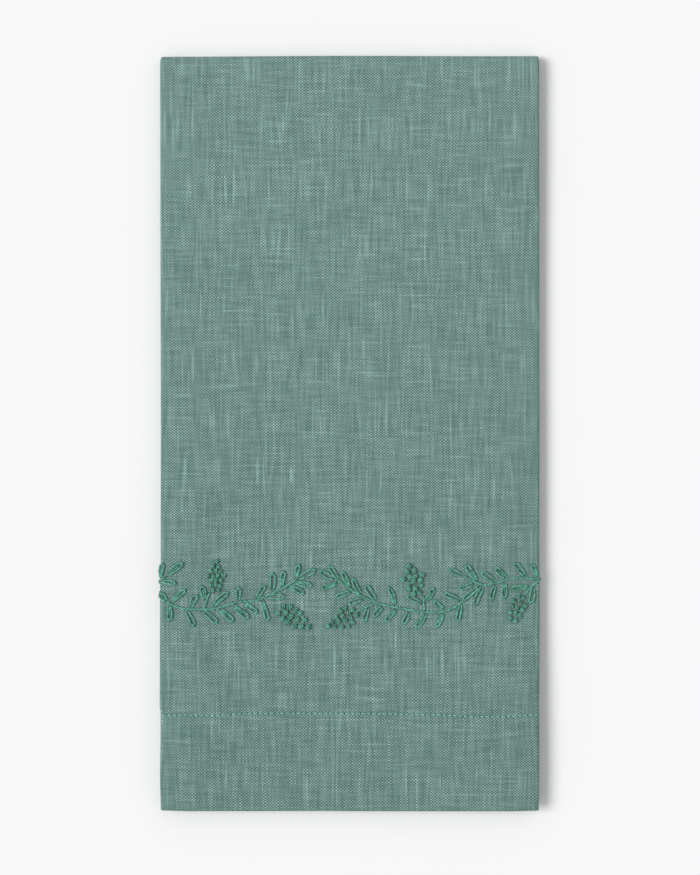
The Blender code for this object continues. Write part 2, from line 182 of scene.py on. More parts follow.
# A sprig is a stem with leaves along it. Its points are millimetres from the towel's middle, root first.
# A leaf or a stalk has its place along the stem (0 at the root, 1 at the tip), its lean from the stem
# in degrees (above 0 to the left of the way that the stem grows), and its length in millimetres.
# A stalk carries leaves of its own.
SPRIGS = {
    "pine_sprig_left": {
        "stem": (
            (-85.5, -80.0), (-79.5, -82.5), (-70.0, -83.0), (-62.5, -82.5), (-51.5, -79.5),
            (-44.0, -79.0), (-39.0, -76.5), (-32.0, -73.5), (-25.0, -69.0),
        ),
        "leaves": (
            (0.01, 65, 10.0), (0.17, 65, 7.5), (0.32, 40, 11.5), (0.53, 75, 7.0), (0.66, 50, 8.5),
            (0.79, 65, 9.5), (0.87, 55, 8.5), (0.99, 45, 7.5), (1.00, -5, 10.0), (0.00, 150, 6.0),
            (0.01, -65, 8.0), (0.14, -60, 9.0), (0.25, -40, 10.0), (0.38, -55, 9.5), (0.48, -55, 10.5),
            (0.57, -45, 8.5), (0.71, -105, 11.0), (0.74, -30, 9.0), (0.91, -55, 9.0), (0.97, -45, 9.0),
        ),
        "stalks": ((0.27, 70, 8.0, ((0.45, 35, 8.0),)),),
    },
    "pine_sprig_middle": {
        "stem": (
            (53.5, -79.0), (46.0, -83.5), (38.5, -84.5), (24.0, -82.5), (13.0, -80.0),
            (5.0, -76.5), (-0.5, -73.0), (-6.0, -69.0),
        ),
        "leaves": (
            (0.01, -55, 9.5), (0.15, -60, 7.5), (0.52, -60, 10.0), (0.66, -40, 10.0), (0.78, -35, 9.5),
            (0.88, -30, 9.0), (0.98, -20, 8.5), (1.00, 10, 9.0),
            (0.02, 45, 9.0), (0.16, 45, 8.5), (0.29, 60, 9.0), (0.42, 75, 7.5), (0.51, 60, 8.5),
            (0.61, 65, 7.5), (0.75, 45, 8.5), (0.86, 55, 8.5), (0.97, 55, 9.5),
        ),
        "stalks": (
            (0.31, -80, 7.5, ((0.45, 58, 9.0), (0.55, -36, 8.5))),
            (0.66, 40, 11.0, ((0.40, 50, 7.5),)),
        ),
    },
    "pine_sprig_right": {
        "stem": (
            (90.5, -69.0), (83.5, -68.5), (76.0, -68.5), (69.0, -70.5), (63.5, -71.5),
            (59.5, -70.5), (53.5, -67.5),
        ),
        "leaves": (
            (0.06, -65, 7.5), (0.20, -50, 9.0), (0.43, -60, 8.0), (0.58, -50, 8.5), (0.80, -35, 10.5),
            (1.00, 0, 7.5),
            (0.47, 70, 8.5), (0.58, 60, 8.5), (0.73, 70, 10.5), (0.76, 50, 11.5), (0.84, 45, 8.5),
        ),
        "stalks": ((0.04, 50, 10.0, ((0.50, -40, 10.0), (0.42, 36, 8.5))),),
    },
    "pine_sprig_fold": {
        "stem": ((-91.0, -71.0), (-89.0, -69.5), (-86.5, -67.5)),
        "leaves": ((0.45, 45, 8.0), (1.00, 0, 10.0), (0.40, -45, 7.5)),
        "stalks": (),
    },
}

# A cone is rows of knots from its base to its tip.
# name, middle x, middle y (mm), way the tip points (degrees), distance between rows (mm), distance between
# knots in a row (mm), knots in rows
CONES = (
    ("pine_cone_1", -63.0, -67.2, 90, 2.2, 2.3, (2, 3, 3, 4, 3, 2, 1)),
    ("pine_cone_2", -26.0, -87.2, -30, 3.1, 3.3, (2, 3, 3, 3, 2, 1)),
    ("pine_cone_3", -4.0, -88.0, 207, 2.8, 2.6, (2, 4, 4, 3, 2, 1)),
    ("pine_cone_4", 29.8, -69.0, 105, 2.6, 3.0, (2, 3, 3, 4, 2, 1)),
    ("pine_cone_5", 78.5, -82.5, 249, 2.8, 2.6, (2, 3, 3, 3, 2)),
)

# The linen's threads: warp threads run along the towel, weft threads across it.
WARP_PITCH = 0.00078
WEFT_PITCH = 0.000628

# The thickest slubs of the front: distance right of its middle, height above the lower edge, half width
# and half length, in millimetres.
SLUBS = (
    (-43.5, 160.0, 0.9, 9.0), (-27.5, 158.0, 1.1, 5.0), (9.5, 124.0, 0.5, 7.5), (-32.0, 124.5, 0.5, 8.0),
    (-18.5, 119.0, 0.5, 6.0), (-31.5, 323.0, 0.5, 7.0), (-77.5, 162.5, 0.5, 7.0), (6.5, 219.0, 0.5, 7.0),
    (42.5, 13.5, 0.5, 6.0), (21.5, 80.0, 0.5, 5.5),
)

# The linen's looks. A tone of 0 to 1 runs through its shades.
LINEN_SHADES = ("#2a4842", "#486660", "#67857e", "#86a49d", "#a7c5be")
MIDDLE_TONE = 0.483
# The weave's painted light and shade: warp crossings lighter, weft crossings darker.
WEAVE_PAINTED_LIGHT = 0.37
CONTRAST_SHARE = 1.5
WARP_STREAKS = 0.34
WEFT_STREAKS = 0.25
MOTTLE = 0.20
WARP_SLUB_TONE = 0.23
WEFT_SLUB_TONE = 0.17
SLUB_TONE = 0.22
LINEN_RELIEF = 0.0001

# A needle hole is drawn as a spot of painted shade, darkest in its core and ending at its edge, both as
# shares of a stitch.
HOLE_PAINTED_SHADE = "#2a443e"
HOLE_EDGE = 0.20
HOLE_CORE = 0.08

# How long the linen's patterns are, in metres: how far threads drift in their place and in their shade, and
# the fine slubs. THREAD_STRAY is how many threads a thread strays.
THREAD_STRAY = 1.4
STRAY_WIDTH = 0.0034
STRAY_LENGTH = 0.045
WARP_DRIFT = 0.022
WEFT_DRIFT = 0.016
WARP_SLUB = 0.028
WEFT_SLUB = 0.022

# Only the thickest parts of the slub noise show: where a slub begins and where it is palest.
SLUB_START = 0.70
SLUB_FULL = 0.90

# Where in the noise the runs of shade and the fine slubs begin, so that no two are alike.
SHADE_PLACE = 90.0
SHADE_ROW = 7.0
SLUB_PLACE = 30.0
SLUB_ROW = 40.0

# The linen grows paler along the towel: tone for each metre, height of its even tone above the lower edge,
# and how far past that it goes on.
TONE_ALONG = 0.16
TONE_EVEN = 0.17
TONE_REACH = 0.18

# The cottons: the dark and the light end of their colour, across which run patches, painted shade between
# the strands and painted shade from the thread's top to its underside; and the painted shade down at the
# cloth.
GARLAND_COLOURS_AND_PAINTED_SHADE = ("#1b4236", "#66b09a", "#10281f")
SEAM_COLOURS_AND_PAINTED_SHADE = ("#4f957f", "#92d8c2", "#2b5648")

# How much a thread's painted shade from top to underside and its strands change its tone, the height off
# the cloth (mm) at which its painted shade is darkest, and how far its strands stand out.
COTTON_PAINTED_SHADE = 0.32
COTTON_STRAND = 0.07
COTTON_PAINTED_SHADE_LOW = -0.1
COTTON_RELIEF = 0.00008

# The cotton's shade changes from patch to patch: this many patches to the metre, 1.4 mm each.
COTTON_PATCHES = 700.0

OUTER_RADIUS = FRONT_LEVEL * LAYER_PITCH
TOP_FOLD_Y = FOLDED_LENGTH / 2.0 - OUTER_RADIUS - CLOTH / 2.0
LOWER_EDGE_Y = -FOLDED_LENGTH / 2.0
FOLD_X = FRONT_WIDTH / 2.0 - CLOTH / 2.0
SEAM_REACH = SEAM_STITCH * SEAM_STITCHES / 2.0
RIGHT_REACH = (FOLD_TOP_LEVEL - RIGHT_FOLD_LOW_LEVEL) / 2.0
LEFT_REACH = (FOLD_TOP_LEVEL - LEFT_FOLD_LOW_LEVEL) / 2.0


def ease(low, high, value):
    """Goes smoothly from 0 at low to 1 at high."""
    share = min(1.0, max(0.0, (value - low) / (high - low)))
    return share * share * (3.0 - 2.0 * share)


def read_table(table, value, column):
    """Reads a table smoothly between its rows, by its first column."""
    for low, high in zip(table, table[1:]):
        if value <= high[0]:
            return low[column] + (high[column] - low[column]) * ease(low[0], high[0], value)
    return table[-1][column]


def linear(hex_colour):
    """An sRGB hex value as linear red, green, blue and alpha."""
    parts = [int(hex_colour[place:place + 2], 16) / 255.0 for place in (1, 3, 5)]
    bright = [part / 12.92 if part <= 0.04045 else ((part + 0.055) / 1.055) ** 2.4 for part in parts]
    return (*bright, 1.0)


# The folded cloth

def layer_pitch(x, y):
    """The distance between two layers' middles: more in the hem, and a little uneven."""
    hem = 1.0 - ease(FRONT_HEM, FRONT_HEM + HEM_SLOPE, y - LOWER_EDGE_Y)
    pitch = LAYER_PITCH + (HEM_PITCH - LAYER_PITCH) * hem
    waves = (high * math.sin(across * x + along * y + start) for across, along, start, high in LAYER_WAVES)
    return pitch + sum(waves)


def hem_share(depth, hem_depth):
    """1 inside a hem, 0 past its sewn edge."""
    return 1.0 - ease(hem_depth - HEM_STEP, hem_depth + HEM_STEP, depth)


def cloth_thickness(share):
    """The cloth's thickness at this share of hem."""
    return CLOTH + (HEM_CLOTH - CLOTH) * share


def rear_edge(x):
    """Where the rear half's edge runs: a little short of the front's, and a little askew."""
    return LOWER_EDGE_Y + REAR_SHORT + REAR_SKEW * x / FOLD_X


def middle_height(x, y):
    """The height of the plane between the front half and the rear half."""
    rear_cloth = cloth_thickness(hem_share(y - rear_edge(x), REAR_HEM))
    return rear_cloth / 2.0 + FRONT_LEVEL * layer_pitch(x, y)


def bowed(x, y):
    """Moves a place sideways by its share of the bow of the nearer folded edge."""
    column = 1 if x < 0.0 else 2
    outward = read_table(EDGE_BOWS, (y - LOWER_EDGE_Y) / MM, column) * MM * abs(x) / FOLD_X
    return x + outward * math.copysign(1.0, x)


def seam_y(x):
    """Where the hem's seam runs at this place across the towel."""
    return LOWER_EDGE_Y + FRONT_HEM + read_table(SEAM_WANDER, x / MM, 1) * MM


def seam_away(row, place):
    """How many stitches a place lies from the front's seam. The rear has none."""
    if row[0] == "front":
        return (place.y - seam_y(place.x)) / SEAM_STITCH
    return FOLDED_LENGTH / SEAM_STITCH


def seam_dip(x, y):
    """The seam draws the cloth down, a little more and less along it."""
    away = (y - seam_y(x)) / SEAM_DIP_REACH
    pull = 1.0 + sum(share * math.sin(turns * x + start) for turns, start, share in SEAM_PULLS)
    return SEAM_DIP * pull * math.exp(-away * away)


def press_marks(x, y):
    """The soft unevenness that pressing leaves in the front face."""
    along = math.sin(95.0 * y + 2.2 * math.sin(21.0 * x)) * math.sin(37.0 * x + 0.8)
    across = math.sin(143.0 * x + 1.7 * math.sin(30.0 * y))
    return PRESS_ALONG * along + PRESS_ACROSS * across


def panel_columns(inner_x, outer_x, steps):
    """Places across a panel, from its inner end to its fold."""
    sink_x = outer_x - math.copysign(SINK_LENGTH, outer_x)
    plain = [inner_x + (sink_x - inner_x) * step / steps for step in range(steps)]
    sinking = [sink_x + (outer_x - sink_x) * step / SINK_STEPS for step in range(SINK_STEPS + 1)]
    return plain + sinking


def side_fold(side, low_level, reach):
    """A half turn at one side, from the low level up to the top one."""
    turn = []
    for step in range(1, FOLD_STEPS):
        angle = math.pi * step / FOLD_STEPS
        x = side * (FOLD_X - reach * LAYER_PITCH + reach * LAYER_PITCH * math.sin(angle))
        turn.append((x, low_level + reach - reach * math.cos(angle)))
    return turn


def sunk_level(x, fold_x, plain_level, fold_level):
    """A panel's level, which changes beside its fold."""
    return plain_level + (fold_level - plain_level) * ease(fold_x - SINK_LENGTH, fold_x, abs(x))


def section_across():
    """The fold in thirds as places across the towel with their levels, one free edge to the other."""
    right_x = FOLD_X - RIGHT_REACH * LAYER_PITCH
    left_x = -FOLD_X + LEFT_REACH * LAYER_PITCH
    section = []
    for x in panel_columns(right_x - SIDE_PANEL, right_x, INNER_STEPS):
        near = max(x, 0.0)
        section.append((x, sunk_level(near, right_x, RIGHT_PANEL_LEVEL, RIGHT_FOLD_LOW_LEVEL)))
    section += side_fold(1.0, RIGHT_FOLD_LOW_LEVEL, RIGHT_REACH)
    right_half = panel_columns(0.0, right_x, FRONT_HALF_STEPS)
    left_half = panel_columns(0.0, left_x, FRONT_HALF_STEPS)
    for x in list(reversed(right_half)) + left_half[1:]:
        fold_x = right_x if x > 0.0 else -left_x
        section.append((x, sunk_level(x, fold_x, FRONT_LEVEL, FOLD_TOP_LEVEL)))
    section += reversed(side_fold(-1.0, LEFT_FOLD_LOW_LEVEL, LEFT_REACH))
    for x in reversed(panel_columns(left_x + SIDE_PANEL, left_x, INNER_STEPS)):
        near = min(x, 0.0)
        section.append((x, sunk_level(near, -left_x, LEFT_PANEL_LEVEL, LEFT_FOLD_LOW_LEVEL)))
    return section


def rows_along():
    """The fold in half as rows from the lower front edge, over the top and down to the rear edge."""
    run = TOP_FOLD_Y - LOWER_EDGE_Y
    front_count = round(run / FRONT_ROW)
    seam_rows = [FRONT_HEM + SEAM_ROW * step for step in range(-SEAM_ROWS, SEAM_ROWS + 1)]
    depths = [run * step / front_count for step in range(front_count)]
    depths = [depth for depth in depths if abs(depth - FRONT_HEM) > SEAM_CLEAR]
    rows = [("front", depth / run) for depth in sorted(depths + seam_rows)]
    rows += [("turn", step / TOP_FOLD_STEPS) for step in range(TOP_FOLD_STEPS + 1)]
    rear_count = round(run / REAR_ROW)
    rows += [("rear", 1.0 - step / rear_count) for step in range(1, rear_count + 1)]
    return rows


def square_corner(level):
    """How many levels a sunk layer stands out past its own turn, which keeps the top edge straight."""
    return (FRONT_LEVEL - level) * ease(RIGHT_PANEL_LEVEL, FOLD_TOP_LEVEL, level)


def folded(place, row):
    """A point of the sheet's middle surface, and its share of hem, from its column and its row."""
    x, level = place
    part, share = row
    inward = INNER_SHORT * (FRONT_LEVEL - level)
    if part == "turn":
        angle = math.pi * share
        pitch = layer_pitch(x, TOP_FOLD_Y)
        y = TOP_FOLD_Y + (level + square_corner(level)) * pitch * math.sin(angle)
        z = middle_height(x, TOP_FOLD_Y) + level * pitch * math.cos(angle)
        return Vector((bowed(x, y), y, z)), 0.0
    if part == "front":
        low = LOWER_EDGE_Y + inward
        y = low + (TOP_FOLD_Y - low) * share
        z = middle_height(x, y) + level * layer_pitch(x, y)
        if level > FOLD_TOP_LEVEL:
            z += (level - FOLD_TOP_LEVEL) / (FRONT_LEVEL - FOLD_TOP_LEVEL) * press_marks(x, y)
        z -= seam_dip(x, y) * ease(RIGHT_PANEL_LEVEL, FOLD_TOP_LEVEL, level)
        return Vector((bowed(x, y), y, z)), hem_share(y - LOWER_EDGE_Y, FRONT_HEM)
    low = rear_edge(x) + inward
    y = low + (TOP_FOLD_Y - low) * share
    z = middle_height(x, y) - level * layer_pitch(x, y)
    return Vector((bowed(x, y), y, z)), hem_share(y - rear_edge(x), REAR_HEM)


def lengths_along(places):
    """How far each place lies along the line through them all."""
    lengths = [0.0]
    for start, end in zip(places, places[1:]):
        lengths.append(lengths[-1] + (end - start).length)
    return lengths


def make_towel(finish):
    """One sheet of linen, folded from a flat grid and then given its thickness."""
    section = section_across()
    rows = rows_along()
    columns = len(section) - 1
    lines = len(rows) - 1
    middle_column = min(range(len(section)), key=lambda index: abs(section[index][0]) - section[index][1])
    spine = [folded(section[middle_column], row)[0] for row in rows]
    flat_x = lengths_along([Vector((x, level * LAYER_PITCH)) for x, level in section])
    flat_y = lengths_along(spine)
    bpy.ops.mesh.primitive_grid_add(x_subdivisions=columns, y_subdivisions=lines, size=1.0)
    towel = bpy.context.object
    towel.name = towel.data.name = "folded_linen"
    mesh = towel.data
    hem_group = towel.vertex_groups.new(name="hem")
    cloth_uv = mesh.uv_layers[0]
    cloth_uv.name = "cloth"
    seam_uv = mesh.uv_layers.new(name="seam")
    flat = []
    stitches = []
    for corner in mesh.vertices:
        column = round((corner.co.x + 0.5) * columns)
        line = round((corner.co.y + 0.5) * lines)
        corner.co, share = folded(section[column], rows[line])
        hem_group.add([corner.index], cloth_thickness(share) / HEM_CLOTH, "REPLACE")
        across = flat_x[middle_column] - flat_x[column]
        flat.append((across, flat_y[line]))
        stitches.append(((across + SEAM_REACH) / SEAM_STITCH + 0.5, seam_away(rows[line], corner.co)))
    for loop in mesh.loops:
        cloth_uv.data[loop.index].uv = flat[loop.vertex_index]
        seam_uv.data[loop.index].uv = stitches[loop.vertex_index]
    mesh.shade_smooth()
    thickness = towel.modifiers.new("linen_thickness", "SOLIDIFY")
    thickness.thickness = HEM_CLOTH
    thickness.offset = 0.0
    thickness.use_even_offset = True
    thickness.vertex_group = hem_group.name
    rounding = towel.modifiers.new("hem_edges", "BEVEL")
    rounding.width = EDGE_ROUND
    rounding.segments = 2
    rounding.limit_method = "ANGLE"
    rounding.angle_limit = math.radians(60.0)
    mesh.materials.append(finish)
    return towel


# Laying threads on the cloth

def on_cloth(across, y, lift):
    """A place this far across the front face, which goes on round the side folds, with its lift off it."""
    side = math.copysign(1.0, across)
    reach = RIGHT_REACH if across > 0.0 else LEFT_REACH
    turn_x = FOLD_X - reach * LAYER_PITCH
    thick = cloth_thickness(hem_share(y - LOWER_EDGE_Y, FRONT_HEM))
    flat_x = side * min(abs(across), turn_x)
    pitch = layer_pitch(flat_x, y)
    level = sunk_level(flat_x, turn_x, FRONT_LEVEL, FOLD_TOP_LEVEL)
    top = middle_height(flat_x, y) + level * pitch - seam_dip(flat_x, y)
    if abs(across) <= turn_x:
        return Vector((bowed(flat_x, y), y, top + press_marks(flat_x, y) + thick / 2.0 + lift)), lift
    radius = reach * pitch + thick / 2.0
    angle = (abs(across) - turn_x) / radius
    x = flat_x + side * (radius + lift) * math.sin(angle)
    z = top - reach * pitch + (radius + lift) * math.cos(angle)
    return Vector((bowed(x, y), y, z)), lift


def smooth_path(points, count):
    """Evenly spaced places on a smooth curve through the points, in metres."""
    knots = [Vector((x * MM, y * MM)) for x, y in points]
    padded = [knots[0] * 2.0 - knots[1], *knots, knots[-1] * 2.0 - knots[-2]]
    fine = []
    for before, start, end, after in zip(padded, padded[1:], padded[2:], padded[3:]):
        for step in range(CURVE_STEPS):
            t = step / CURVE_STEPS
            bend = (before * 2.0 - start * 5.0 + end * 4.0 - after) * t * t
            turn = (start * 3.0 - before - end * 3.0 + after) * t * t * t
            fine.append((start * 2.0 + (end - before) * t + bend + turn) * 0.5)
    fine.append(knots[-1])
    lengths = lengths_along(fine)
    path = []
    for step in range(count):
        wanted = lengths[-1] * step / (count - 1)
        index = max(1, next(i for i, reach in enumerate(lengths) if reach >= wanted - 1e-9))
        part = (wanted - lengths[index - 1]) / (lengths[index] - lengths[index - 1])
        path.append(fine[index - 1].lerp(fine[index], part))
    return path


def stem_place(path, share):
    """The place on a stem at this share of its length, and the way that it grows there."""
    spot = min(max(share, 0.0) * (len(path) - 1), len(path) - 1.001)
    index = int(spot)
    place = path[index].lerp(path[index + 1], spot - index)
    onward = path[index + 1] - path[index]
    return place, math.atan2(onward.y, onward.x)


def leaf_loop(root, angle, length, width, bend):
    """A chain stitch as a loop of thread, whose sides part from its root towards its round tip."""
    onward = Vector((math.cos(angle), math.sin(angle)))
    aside = Vector((-onward.y, onward.x))
    half = width / 2.0 - LOOP_THREAD
    turn_start = length - LOOP_THREAD - half
    outline = []
    for step in range(LOOP_SIDE_STEPS):
        share = step / LOOP_SIDE_STEPS
        spread = LOOP_ROOT + (1.0 - LOOP_ROOT) * ease(*LOOP_WIDENS, share)
        outline.append((turn_start * share, half * spread))
    for step in range(LOOP_TIP_STEPS + 1):
        turn = math.pi * step / LOOP_TIP_STEPS
        outline.append((turn_start + half * math.sin(turn), half * math.cos(turn)))
    outline += [(along, -side) for along, side in reversed(outline[:LOOP_SIDE_STEPS])]
    places = []
    for number, (along, side) in enumerate(outline):
        bow = bend * length * math.sin(math.pi * along / length)
        place = root + onward * along + aside * (side + bow)
        lift = LOOP_THREAD * (0.6 + 0.5 * ease(0.0, 0.5, along / length))
        if number in (0, len(outline) - 1):
            lift = -NEEDLE_DIP
        places.append(on_cloth(place.x, place.y, lift))
    return places


def straight_stitch(start, end, rise, bow=0.0):
    """One stitch that comes up out of the cloth and goes down into it again."""
    places = []
    aside = Vector((start.y - end.y, end.x - start.x))
    for step in range(STITCH_STEPS + 1):
        share = step / STITCH_STEPS
        place = start.lerp(end, share) + aside * bow * math.sin(math.pi * share)
        lift = rise * math.sin(math.pi * share) ** 0.5
        if step in (0, STITCH_STEPS):
            lift -= NEEDLE_DIP
        places.append(on_cloth(place.x, place.y, lift))
    return places


def leaf_stitches(stem_middle, angle, length, luck):
    """A leaf of the garland: a chain stitch, its small holding stitch, and in some a filling stitch."""
    onward = Vector((math.cos(angle), math.sin(angle)))
    root = stem_middle + onward * LEAF_START
    size = length - LEAF_START
    bend = luck.uniform(-LEAF_BEND, LEAF_BEND)
    width = LEAF_WIDTH * luck.uniform(*WIDTH_RANGE)
    runs = [(leaf_loop(root, angle, size, width, bend), LOOP_THREAD * luck.uniform(*LOOP_RANGE))]
    tip = root + onward * size
    holding = straight_stitch(tip - onward * HOLDING_BEFORE, tip + onward * HOLDING_PAST, LOOP_THREAD * 1.6)
    runs.append((holding, FILLING_THREAD))
    if luck.random() < LEAF_FILLED:
        start = root + onward * size * FILLING_START
        end = root + onward * size * luck.uniform(*FILLING_RANGE)
        runs.append((straight_stitch(start, end, LOOP_THREAD * 0.75, bend), FILLING_THREAD))
    return runs


def stem_stitches(path, luck):
    """Stem stitch: slanting stitches that lie side by side like the strands of a rope."""
    length = lengths_along(path)[-1]
    count = max(2, round(length / STEM_STEP))
    half = STEM_STITCH / 2.0 / length
    runs = []
    for number in range(count):
        middle = (number + 0.5 + luck.uniform(-STEM_DRIFT, STEM_DRIFT)) / count
        stray = luck.uniform(-STEM_STRAY, STEM_STRAY)
        places = []
        for step in range(STEM_STEPS + 1):
            share = step / STEM_STEPS
            place, angle = stem_place(path, min(1.0, middle - half + 2.0 * half * share))
            aside = Vector((-math.sin(angle), math.cos(angle))) * (STEM_SIDE * (1.0 - 2.0 * share) + stray)
            lift = STEM_THREAD * (0.45 + 0.65 * math.sin(math.pi * share))
            if step in (0, STEM_STEPS):
                lift = -NEEDLE_DIP
            places.append(on_cloth(place.x + aside.x, place.y + aside.y, lift))
        runs.append((places, STEM_THREAD * luck.uniform(*STEM_RANGE)))
    return runs


def sprig_stitches(chart, luck):
    """All the threads of one sprig, as runs of places with their thread's radius."""
    path = smooth_path(chart["stem"], STEM_PLACES)
    return branch_stitches(path, chart["leaves"], chart["stalks"], luck)


def branch_stitches(path, leaves, stalks, luck):
    """A stem or a stalk with what grows from it."""
    runs = stem_stitches(path, luck)
    for share, lean, length_mm in leaves:
        root, angle = stem_place(path, share)
        runs += leaf_stitches(root, angle + math.radians(lean), length_mm * MM, luck)
    for share, lean, length_mm, stalk_leaves in stalks:
        root, angle = stem_place(path, share)
        angle += math.radians(lean)
        end = root + Vector((math.cos(angle), math.sin(angle))) * length_mm * MM
        stalk = [root.lerp(end, step / STALK_PLACES) for step in range(STALK_PLACES + 1)]
        runs += branch_stitches(stalk, stalk_leaves, (), luck)
    return runs


def knot_places(middle_x, middle_y, tip_angle, row_pitch, knot_pitch, rows, luck):
    """The knots of a cone, row by row from its base, each a little out of line."""
    angle = math.radians(tip_angle)
    onward = Vector((math.cos(angle), math.sin(angle)))
    across = Vector((-onward.y, onward.x))
    places = []
    for row, knots in enumerate(rows):
        along = (row - (len(rows) - 1) / 2.0) * row_pitch * MM
        for knot in range(knots):
            side = (knot - (knots - 1) / 2.0) * knot_pitch * MM
            stray = Vector((luck.uniform(-1.0, 1.0), luck.uniform(-1.0, 1.0))) * KNOT_STRAY
            places.append(Vector((middle_x, middle_y)) * MM + onward * along + across * side + stray)
    return places


def knot_coil(middle, size, luck):
    """A knot: the thread wound two or three times round itself, so that its wraps lie side by side."""
    way = luck.uniform(0.0, math.pi)
    axis = Vector((math.cos(way), math.sin(way)))
    aside = Vector((-axis.y, axis.x))
    wraps = 3 if size > LARGE_KNOT else luck.choice((2, 2, 3))
    length = min(KNOT_WRAP * wraps, KNOT_ROOM * size) * luck.uniform(*KNOT_LENGTH_RANGE)
    reach = size * luck.uniform(*KNOT_REACH_RANGE)
    rise = luck.uniform(0.0, KNOT_RISE)
    steps = KNOT_STEPS * wraps
    places = []
    for step in range(steps + 1):
        share = step / steps
        turn = 2.0 * math.pi * wraps * share - 0.5 * math.pi
        dome = math.sin(math.pi * (0.1 + 0.8 * share))
        spot = middle + axis * length * (share - 0.5) + aside * reach * dome * math.cos(turn)
        lift = KNOT_THREAD + KNOT_LIFT * dome * (1.0 + math.sin(turn)) + rise
        if step in (0, steps):
            lift = -NEEDLE_DIP
        places.append(on_cloth(spot.x, spot.y, lift))
    return places


def cone_knots(row, luck):
    """All the knots of one cone, as runs of places with their thread's radius."""
    _, middle_x, middle_y, tip_angle, row_pitch, knot_pitch, rows = row
    places = knot_places(middle_x, middle_y, tip_angle, row_pitch, knot_pitch, rows, luck)
    return [(knot_coil(place, knot_pitch * MM, luck), KNOT_THREAD) for place in places]


def hem_stitches(luck):
    """The machine seam of the hem, stitch by stitch from fold to fold."""
    runs = []
    for number in range(SEAM_STITCHES):
        start_x = -SEAM_REACH + SEAM_STITCH * number + SEAM_GAP / 2.0
        end_x = start_x + SEAM_STITCH - SEAM_GAP
        stray = luck.uniform(-SEAM_STRAY, SEAM_STRAY)
        start = Vector((start_x, seam_y(start_x) + stray + SEAM_SLANT))
        end = Vector((end_x, seam_y(end_x) + stray - SEAM_SLANT))
        runs.append((straight_stitch(start, end, SEAM_THREAD * 0.9), SEAM_THREAD))
    return runs


def make_threads(name, runs, finish):
    """Turns runs of places into one piece: round twisted threads with closed ends."""
    corners, heights, faces, wraps = [], [], [], []
    for run, radius in runs:
        add_thread(corners, heights, faces, wraps, run, radius)
    mesh = bpy.data.meshes.new(name)
    mesh.from_pydata(corners, [], faces)
    mesh.uv_layers.new(name="thread")
    # The height off the cloth, which the cotton's painted shade reads.
    height_uv = mesh.uv_layers.new(name="height")
    for loop in mesh.loops:
        mesh.uv_layers["thread"].data[loop.index].uv = wraps[loop.index]
        height_uv.data[loop.index].uv = (heights[loop.vertex_index] / MM, 0.0)
    mesh.shade_smooth()
    mesh.materials.append(finish)
    piece = bpy.data.objects.new(name, mesh)
    bpy.context.scene.collection.objects.link(piece)
    return piece


def add_thread(corners, heights, faces, wraps, run, radius):
    """Adds a tube along the run's places. Its plies stand out a little and wind round it."""
    places = [place for place, lift in run]
    first = len(corners)
    reach = 0.0
    reaches = []
    for number, place in enumerate(places):
        before = places[max(0, number - 1)]
        after = places[min(len(places) - 1, number + 1)]
        reach += (place - before).length
        reaches.append(reach)
        onward = (after - before).normalized()
        aside = onward.cross(Vector((0.0, 0.0, 1.0)))
        if aside.length < 0.2:
            aside = onward.cross(Vector((1.0, 0.0, 0.0)))
        aside.normalize()
        up = aside.cross(onward)
        end = number in (0, len(places) - 1)
        for side in range(THREAD_SIDES):
            around = 2.0 * math.pi * side / THREAD_SIDES
            ply = math.cos(THREAD_PLIES * (around - 2.0 * math.pi * reach / PLY_TURN))
            size = radius * (1.0 + PLY_SWELL * ply) * (THREAD_END if end else 1.0)
            rise = math.sin(around) * size * THREAD_FLATNESS
            corners.append(place + aside * math.cos(around) * size + up * rise)
            heights.append(run[number][1] + rise)
    for ring in range(len(places) - 1):
        for side in range(THREAD_SIDES):
            after = (side + 1) % THREAD_SIDES
            low = first + ring * THREAD_SIDES
            high = low + THREAD_SIDES
            faces.append((low + side, low + after, high + after, high + side))
            edge, next_edge = side / THREAD_SIDES, (side + 1) / THREAD_SIDES
            wraps += [(edge, reaches[ring]), (next_edge, reaches[ring])]
            wraps += [(next_edge, reaches[ring + 1]), (edge, reaches[ring + 1])]
    last = first + (len(places) - 1) * THREAD_SIDES
    faces.append(tuple(first + side for side in reversed(range(THREAD_SIDES))))
    faces.append(tuple(last + side for side in range(THREAD_SIDES)))
    # The end caps take the underside's place round the thread, and so its painted shade.
    wraps += [(THREAD_UNDER, 0.0)] * THREAD_SIDES + [(THREAD_UNDER, reach)] * THREAD_SIDES


# Finishes

def add(tree, kind, inputs, **settings):
    """Adds a node with its settings. An input is a value, another node or a node's socket."""
    made = tree.nodes.new(kind)
    for name, value in settings.items():
        setattr(made, name, value)
    for key, value in inputs.items():
        if isinstance(value, bpy.types.Node):
            tree.links.new(value.outputs[0], made.inputs[key])
        elif isinstance(value, bpy.types.NodeSocket):
            tree.links.new(value, made.inputs[key])
        else:
            made.inputs[key].default_value = value
    return made


def new_finish(name, roughness, ior=1.5):
    """A material with one shader, whose even values are set on its own sockets."""
    finish = bpy.data.materials.new(name)
    finish.use_nodes = True
    tree = finish.node_tree
    shader = tree.nodes["Principled BSDF"]
    shader.inputs["Roughness"].default_value = roughness
    shader.inputs["IOR"].default_value = ior
    return finish, tree, shader


